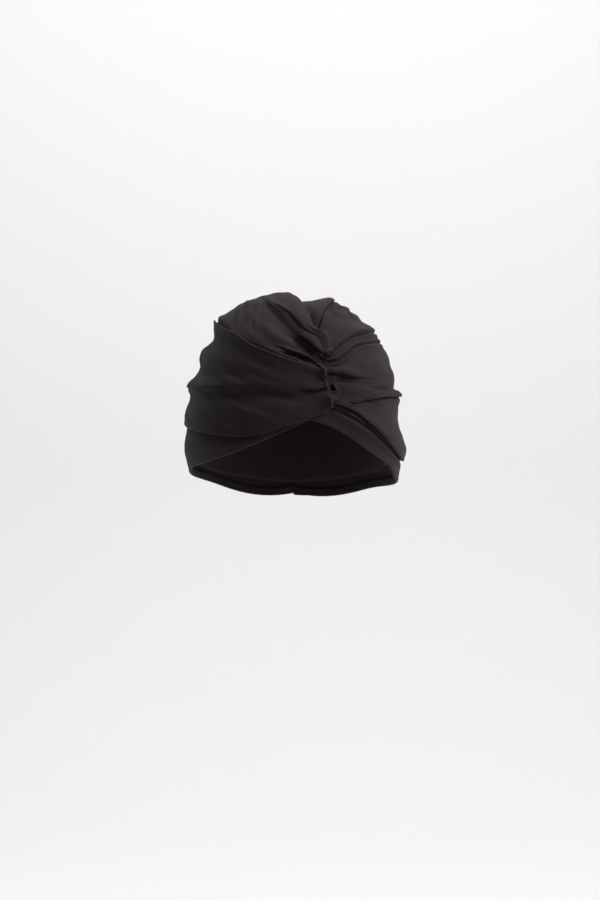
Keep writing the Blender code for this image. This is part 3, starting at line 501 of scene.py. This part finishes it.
def press_creases(grid, panel):
    """Works the panel's soft creases into its surface."""
    ways = unit(grid - CENTRE)
    moved = np.zeros(grid.shape[:2])
    for name, width, height, route in CREASES:
        if name != panel:
            continue
        table = np.array(route, float)
        line = unit(smooth_between(direction(table[:, 0], table[:, 1]), [CREASE_STEPS] * (len(table) - 1)))
        nearest = np.full(grid.shape[:2], np.inf)
        fade = np.zeros(grid.shape[:2])
        for k, way in enumerate(line):
            away = np.linalg.norm(ways - way, axis=-1)
            share = k / (len(line) - 1)
            fade = np.where(away < nearest, np.sin(np.pi * share) ** CREASE_FADE, fade)
            nearest = np.minimum(nearest, away)
        away = nearest * form_reach(ways) / (width * MM)
        moved += height * MM * fade * np.exp(-(away**2))
    return grid + ways * moved[..., None]


def bend_ends(grid, low_lift):
    """Lowers the surface over the last few millimetres before the gather, as cloth turns in there."""
    ways = unit(grid - CENTRE)
    lifts = np.linalg.norm(grid - CENTRE, axis=-1) - form_reach(ways)
    along = np.linalg.norm(np.diff(grid, axis=1), axis=2)
    along = np.concatenate([np.zeros((len(grid), 1)), np.cumsum(along, axis=1)], axis=1)
    share = np.clip(1 - along / END_BEND, 0, 1)
    drop = (1 - np.sqrt(1 - share**2)) * np.maximum(lifts - low_lift, 0)
    return grid - ways * drop[..., None]


def folded_edge(grid, clear, radius):
    """Rows that carry the sheet's first row round and back under it, with the clearance that each one keeps."""
    edge = grid[0]
    outward = unit(edge - CENTRE)
    across = edge - grid[2]
    across = unit(across - outward * np.sum(across * outward, axis=-1, keepdims=True))
    rows = []
    for turn in EDGE_TURNS:
        step = radius * ((np.cos(turn) - 1) * outward + np.sin(turn) * across)
        rows.append((edge + step, LAYER_GAP + radius * (1 + np.cos(turn))))
    run = np.linalg.norm(np.diff(grid, axis=0), axis=2)
    run = np.concatenate([np.zeros((1, grid.shape[1])), np.cumsum(run, axis=0)])
    for deep in UNDER_SHARES:
        back = np.empty_like(edge)
        for c in range(grid.shape[1]):
            back[c] = [np.interp(deep * TURN_UNDER, run[:, c], grid[:, c, k]) for k in range(3)]
        rows.append((back - 2 * radius * unit(back - CENTRE), LAYER_GAP))
    clear[run < EDGE_ZONE * TURN_UNDER] = LAYER_GAP + 2 * radius
    return rows


def map_place(ways):
    """Where unit vectors lie on a flat map of directions that is centred on the crown."""
    polar = np.degrees(np.arccos(np.clip(ways[..., 2], -1, 1)))
    flat = unit(np.stack([ways[..., 0], ways[..., 1]], axis=-1) + [0.0, 1e-9])
    return (flat * polar[..., None] + MAP_EDGE) / MAP_CELL


def new_map():
    """The cap's reach on the map of directions."""
    axis = np.arange(MAP_SIZE) * MAP_CELL - MAP_EDGE
    flat = np.stack(np.meshgrid(axis, axis, indexing="ij"), axis=-1)
    polar = np.linalg.norm(flat, axis=-1)
    around = flat / np.maximum(polar, 1e-9)[..., None]
    polar = np.radians(polar)
    ways = np.concatenate([around * np.sin(polar)[..., None], np.cos(polar)[..., None]], axis=-1)
    return form_reach(ways)


def refined(grid, factor):
    """The grid with this many cells to each of its own."""
    for axis in (0, 1):
        grid = np.moveaxis(grid, axis, 0)
        share = (np.arange(factor) / factor).reshape(1, -1, 1, 1)
        dense = grid[:-1, None] * (1 - share) + grid[1:, None] * share
        dense = dense.reshape((-1,) + grid.shape[1:])
        grid = np.moveaxis(np.concatenate([dense, grid[-1:]]), 0, axis)
    return grid


def shifted(values, step, axis):
    """The values moved by this many cells, with the last one repeated at the edge."""
    last = values.shape[axis] - 1
    return np.take(values, np.clip(np.arange(last + 1) + step, 0, last), axis)


def widest(values, reach):
    """Each value raised to the largest within this many cells."""
    for axis in (0, 1):
        kept = values.copy()
        for step in range(1, reach + 1):
            kept = np.maximum(kept, np.maximum(shifted(values, step, axis), shifted(values, -step, axis)))
        values = kept
    return values


def blurred(values, reach):
    """Each value averaged with those within this many cells."""
    for axis in (0, 1):
        total = values.copy()
        for step in range(1, reach + 1):
            total += shifted(values, step, axis) + shifted(values, -step, axis)
        values = total / (2 * reach + 1)
    return values


def add_to_map(reach_map, grid):
    """Records a laid sheet on the map of how far out the surface is."""
    points = refined(grid, MAP_POINTS).reshape(-1, 3)
    away = np.linalg.norm(points - CENTRE, axis=-1)
    place = np.round(map_place(unit(points - CENTRE))).astype(int)
    inside = np.all((place >= 0) & (place < MAP_SIZE), axis=-1)
    place = place[inside]
    top = np.zeros_like(reach_map)
    np.maximum.at(top, (place[:, 0], place[:, 1]), away[inside])
    top = widest(top, 1)
    return np.maximum(reach_map, top)


def reach_under(reach_map, ways):
    """How far out the surface is along each of these unit vectors."""
    place = np.clip(map_place(ways), 0, MAP_SIZE - 1.001)
    low = place.astype(int)
    part = place - low
    found = 0.0
    for i in (0, 1):
        for j in (0, 1):
            share = np.abs(1 - i - part[..., 0]) * np.abs(1 - j - part[..., 1])
            found = found + share * reach_map[low[..., 0] + i, low[..., 1] + j]
    return found


def lay_over(grid, clear, reach_map):
    """Lifts the sheet, softly all round, until it clears every sheet under it."""
    ways = unit(grid - CENTRE)
    reach = np.linalg.norm(grid - CENTRE, axis=-1)
    soft = np.maximum(reach_map, blurred(reach_map, 1))
    for spread in LIFT_SPREADS:
        short = np.maximum(reach_under(soft, ways) + clear - reach, 0.0)
        reach = reach + (blurred(widest(short, spread), spread) if spread else short)
    return CENTRE + ways * reach[..., None]


def keep_to_side(grid, side):
    """Ends a panel just past the centre back, so that the two sides lap there."""
    limit = -SEAM_LAP / 2
    grid[:, -1, 0] = side * limit
    behind = grid[..., 1] > SEAM_ZONE * HALF_LENGTH
    grid[..., 0] = np.where(behind, side * np.maximum(side * grid[..., 0], limit), grid[..., 0])
    return grid


def ripples(grid, height, seed):
    """Moves the sheet in and out by the slight waves that cloth keeps, long along the folds and short across."""
    random = np.random.default_rng(seed)
    along, across = lengths(grid)
    total = np.zeros(grid.shape[:2])
    for _ in range(WAVES):
        long_wave = random.uniform(*LONG_WAVES) * MM * random.choice([-1, 1])
        short_wave = random.uniform(*SHORT_WAVES) * MM
        total += np.cos(2 * np.pi * (along / long_wave + across / short_wave) + random.uniform(0, 6.3))
    gather = 1 + GATHER_WAVES * np.exp(-along / GATHER_ZONE)
    edge = np.minimum(across, across[-1] - across)
    keep = np.clip(edge / STILL_ZONE, 0, 1) * np.clip(along / STILL_ZONE, 0, 1)
    return grid + unit(grid - CENTRE) * (total / WAVE_SUM * height * MM * gather * keep)[..., None]


def lengths(grid):
    """How far each point is along and across the sheet, over its surface."""
    along = np.linalg.norm(np.diff(grid, axis=1), axis=2)
    along = np.concatenate([np.zeros((len(grid), 1)), np.cumsum(along, axis=1)], axis=1)
    across = np.linalg.norm(np.diff(grid, axis=0), axis=2)
    across = np.concatenate([np.zeros((1, grid.shape[1])), np.cumsum(across, axis=0)])
    return along, across


def sheet_mesh(name, grid, flip, wall):
    """A cloth sheet from its grid: quads, lengths over the cloth in metres as UVs, and a wall inwards."""
    rows, columns = grid.shape[:2]
    index = np.arange(rows * columns).reshape(rows, columns)
    quads = np.stack([index[:-1, :-1], index[:-1, 1:], index[1:, 1:], index[1:, :-1]], axis=-1).reshape(-1, 4)
    if flip:
        quads = quads[:, ::-1]
    mesh = bpy.data.meshes.new(name)
    mesh.vertices.add(rows * columns)
    mesh.vertices.foreach_set("co", grid.reshape(-1))
    mesh.loops.add(quads.size)
    mesh.loops.foreach_set("vertex_index", np.ascontiguousarray(quads).reshape(-1))
    mesh.polygons.add(len(quads))
    mesh.polygons.foreach_set("loop_start", np.arange(len(quads)) * 4)
    mesh.update(calc_edges=True)
    mesh.polygons.foreach_set("use_smooth", np.ones(len(quads), bool))
    along, across = lengths(grid)
    cloth = np.stack([along, across], axis=-1).reshape(-1, 2)
    layer = mesh.uv_layers.new(name="cloth")
    layer.data.foreach_set("uv", cloth[quads.reshape(-1)].reshape(-1))
    piece = bpy.data.objects.new(name, mesh)
    bpy.context.scene.collection.objects.link(piece)
    solid = piece.modifiers.new("wall", "SOLIDIFY")
    solid.thickness = wall
    solid.offset = -1
    return piece


def cap_grid():
    """The close cap as rows from the top of the head down to its rim."""
    turns = np.arange(CAP_COLUMNS + 1) * 360 / CAP_COLUMNS
    rim = np.array(CAP_RIM, float)
    low = np.interp(np.minimum(turns, 360 - turns), rim[:, 0], rim[:, 1])
    rows = []
    for share in np.linspace(0, 1, CAP_ROWS):
        up = low + (90 - low) * (1 - max(share, CAP_POLE))
        ways = direction(turns, up)
        rows.append(CENTRE + ways * form_reach(ways)[:, None])
    return np.stack(rows)


def new_material(name):
    """A material with its node tree and its shader."""
    material = bpy.data.materials.new(name)
    material.use_nodes = True
    return material, material.node_tree, material.node_tree.nodes["Principled BSDF"]


def node_of(tree, kind, **values):
    """A new node with these settings."""
    node = tree.nodes.new(kind)
    for key, value in values.items():
        setattr(node, key, value)
    return node


def set_inputs(node, values):
    for key, value in values.items():
        node.inputs[key].default_value = value


def math_node(tree, operation, first, second=None):
    """The outcome of one sum on sockets or numbers."""
    node = node_of(tree, "ShaderNodeMath", operation=operation)
    for socket, value in zip(node.inputs, (first, second)):
        if value is None:
            continue
        if isinstance(value, (int, float)):
            socket.default_value = value
        else:
            tree.links.new(value, socket)
    return node.outputs[0]


def jersey(name, seed):
    """Black jersey: columns of fine V stitches, soft patches of wear, a downy sheen and a few specks of lint."""
    material, tree, shader = new_material(name)

    def math(operation, first, second=None):
        return math_node(tree, operation, first, second)

    split = node_of(tree, "ShaderNodeSeparateXYZ")
    tree.links.new(node_of(tree, "ShaderNodeUVMap", uv_map="cloth").outputs[0], split.inputs[0])
    beside = math("ABSOLUTE", math("SUBTRACT", math("FRACT", math("DIVIDE", split.outputs[1], WALE)), 0.5))
    phase = math("ADD", math("DIVIDE", split.outputs[0], COURSE), math("MULTIPLY", beside, STITCH_LEAN))
    wave = math("COSINE", math("MULTIPLY", phase, 2 * np.pi))
    arm = math("COSINE", math("MULTIPLY", math("SUBTRACT", beside, 0.25), 2 * np.pi))
    stitch = math("MULTIPLY", math("ADD", wave, STITCH_BASE), math("ADD", arm, ARM_BASE))
    object_place = node_of(tree, "ShaderNodeTexCoord").outputs["Object"]

    def noise(scale, detail, roughness):
        node = node_of(tree, "ShaderNodeTexNoise")
        tree.links.new(object_place, node.inputs["Vector"])
        set_inputs(node, {"Scale": scale, "Detail": detail, "Roughness": roughness})
        return node.outputs["Fac"]

    def bump(strength, distance, height):
        node = node_of(tree, "ShaderNodeBump")
        set_inputs(node, {"Strength": strength, "Distance": distance})
        tree.links.new(height, node.inputs["Height"])
        return node

    patches = noise(PATCH_SCALE + seed, 4.0, 0.5)
    down = noise(DOWN_SCALE, 3.0, 0.7)
    ramp = node_of(tree, "ShaderNodeValToRGB")
    for element, (position, colour) in zip(ramp.color_ramp.elements, TONES):
        element.position = position
        element.color = colour
    tone = math("ADD", math("MULTIPLY", patches, PATCH_TONE), math("MULTIPLY", down, DOWN_TONE))
    tree.links.new(math("ADD", tone, math("MULTIPLY", stitch, STITCH_TONE)), ramp.inputs[0])
    spots = node_of(tree, "ShaderNodeTexVoronoi")
    tree.links.new(object_place, spots.inputs["Vector"])
    spots.inputs["Scale"].default_value = LINT_SCALE
    rare = node_of(tree, "ShaderNodeSeparateColor")
    tree.links.new(spots.outputs["Color"], rare.inputs[0])
    near = math("LESS_THAN", spots.outputs["Distance"], LINT_SIZE)
    lint = node_of(tree, "ShaderNodeMix", data_type="RGBA")
    tree.links.new(math("MULTIPLY", near, math("GREATER_THAN", rare.outputs[0], LINT_RARITY)), lint.inputs["Factor"])
    tree.links.new(ramp.outputs[0], lint.inputs["A"])
    lint.inputs["B"].default_value = LINT_COLOUR
    tree.links.new(lint.outputs["Result"], shader.inputs["Base Color"])
    rough = math("ADD", math("MULTIPLY", patches, PATCH_ROUGHNESS), LEAST_ROUGHNESS)
    tree.links.new(rough, shader.inputs["Roughness"])
    set_inputs(shader, SHINE)
    fine = bump(0.35, KNIT_DEPTH, math("ADD", stitch, math("MULTIPLY", down, DOWN_HEIGHT)))
    soft = bump(0.5, WEAR_DEPTH, noise(WEAR_SCALE, 2.0, 0.5))
    tree.links.new(fine.outputs[0], soft.inputs["Normal"])
    tree.links.new(soft.outputs[0], shader.inputs["Normal"])
    return material


def dress(piece, node, seed):
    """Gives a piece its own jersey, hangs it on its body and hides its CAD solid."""
    piece.data.materials.append(jersey(node + "_jersey", seed))
    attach(piece, "root")
    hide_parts(node)


def build_cloth():
    """The cap and every panel, each laid over those before it."""
    reach_map = new_map()
    piece = sheet_mesh("cap_cloth", cap_grid(), False, CAP_WALL)
    dress(piece, "crown_cap", 0)
    for seed, (name, rows, upper_radius, lower_radius, side, bends, wave, held) in enumerate(PANELS, 1):
        longest = max(row_length(stations) for _, _, _, stations in rows)
        shares = column_shares(longest, bends)
        coarse = surface_rows(rows, shares)
        spans = np.linalg.norm(np.diff(coarse, axis=0), axis=-1).mean(axis=1)
        steps = [max(2 if span < NARROW_STRIP else 1, round(span / CELL)) for span in spans]
        grid = press_creases(smooth_between(coarse, steps), name)
        grid = ripples(grid, wave, seed)
        if bends:
            grid = bend_ends(grid, WALL + LAYER_GAP)
        clear = np.full(grid.shape[:2], WALL + LAYER_GAP)
        upper = folded_edge(grid, clear, upper_radius * MM) if upper_radius else []
        lower = folded_edge(grid[::-1], clear[::-1], lower_radius * MM) if lower_radius else []
        width = grid.shape[1]
        points = [row for row, _ in upper[::-1]] + list(grid) + [row for row, _ in lower]
        heights = [np.full(width, h) for _, h in upper[::-1]] + list(clear)
        heights += [np.full(width, h) for _, h in lower]
        grid = lay_over(np.stack(points), np.stack(heights), reach_map)
        grid = keep_to_side(grid, side)
        reach_map = add_to_map(reach_map, grid)
        piece = sheet_mesh(name + "_cloth", grid, side > 0, WALL)
        dress(piece, name, seed)


def row_length(stations):
    """The length of a fold line over the cap."""
    table = np.array([s[:2] for s in stations], float)
    ways = direction(table[:, 0], table[:, 1])
    return float(np.linalg.norm(np.diff(ways * form_reach(ways)[:, None], axis=0), axis=1).sum() * ROW_SLACK)


def sweep():
    """A pale floor that curves up into a backdrop."""
    profile = [(SWEEP_FRONT, 0.0), (SWEEP_BACK, 0.0)]
    for turn in np.radians(np.arange(6, 91, 6)):
        profile.append((SWEEP_BACK + SWEEP_BEND * np.sin(turn), SWEEP_BEND * (1 - np.cos(turn))))
    profile.append((SWEEP_BACK + SWEEP_BEND, SWEEP_TOP))
    points = []
    for x in (-SWEEP_SIDE, SWEEP_SIDE):
        points += [(x, y, FLOOR_HEIGHT + z) for y, z in profile]
    count = len(profile)
    faces = [(i, i + 1, count + i + 1, count + i) for i in range(count - 1)]
    mesh = bpy.data.meshes.new("sweep")
    mesh.from_pydata(points, [], faces)
    for face in mesh.polygons:
        face.use_smooth = True
    stage = bpy.data.objects.new("sweep", mesh)
    bpy.context.scene.collection.objects.link(stage)
    material, _, shader = new_material("paper_sweep")
    set_inputs(shader, PAPER)
    mesh.materials.append(material)


def area_light(name, place, aim, size, power):
    """A lamp with a flat face, pointed at a place."""
    light = bpy.data.lights.new(name, "AREA")
    light.shape = "RECTANGLE"
    light.size, light.size_y = size
    light.energy = power
    lamp = bpy.data.objects.new(name, light)
    bpy.context.scene.collection.objects.link(lamp)
    lamp.location = place
    lamp.rotation_euler = (Vector(aim) - Vector(place)).to_track_quat("-Z", "Y").to_euler()


def studio():
    """Light from all round that is brightest from one side, a plain bright view past the sweep, and the lamps."""
    world = bpy.data.worlds.new("studio")
    bpy.context.scene.world = world
    world.use_nodes = True
    tree = world.node_tree
    background = tree.nodes["Background"]
    toward = node_of(tree, "ShaderNodeVectorMath", operation="DOT_PRODUCT")
    tree.links.new(node_of(tree, "ShaderNodeTexCoord").outputs["Generated"], toward.inputs[0])
    toward.inputs[1].default_value = BRIGHT_SIDE
    level = node_of(tree, "ShaderNodeMapRange")
    tree.links.new(toward.outputs["Value"], level.inputs["Value"])
    for socket, value in zip(level.inputs[1:5], WORLD_LEVELS):
        socket.default_value = value
    path = node_of(tree, "ShaderNodeLightPath")
    seen = math_node(tree, "MULTIPLY", path.outputs["Is Camera Ray"], SEEN_LEVEL)
    unseen = math_node(tree, "SUBTRACT", 1.0, path.outputs["Is Camera Ray"])
    unseen = math_node(tree, "MULTIPLY", unseen, level.outputs[0])
    tree.links.new(math_node(tree, "ADD", seen, unseen), background.inputs["Strength"])
    background.inputs[0].default_value = WORLD_COLOUR
    for lamp in LAMPS:
        area_light(*lamp)
    bpy.context.scene.view_settings.view_transform = "Standard"


def camera():
    """The photo's view, level from the front."""
    view = bpy.data.cameras.new("camera")
    view.lens = LENS
    view.sensor_width = SENSOR
    view.sensor_fit = "AUTO"
    eye = bpy.data.objects.new("camera", view)
    bpy.context.scene.collection.objects.link(eye)
    eye.location = CAMERA_PLACE
    eye.rotation_euler = (np.pi / 2, 0, 0)
    bpy.context.scene.camera = eye


build_cloth()
sweep()
studio()
camera()
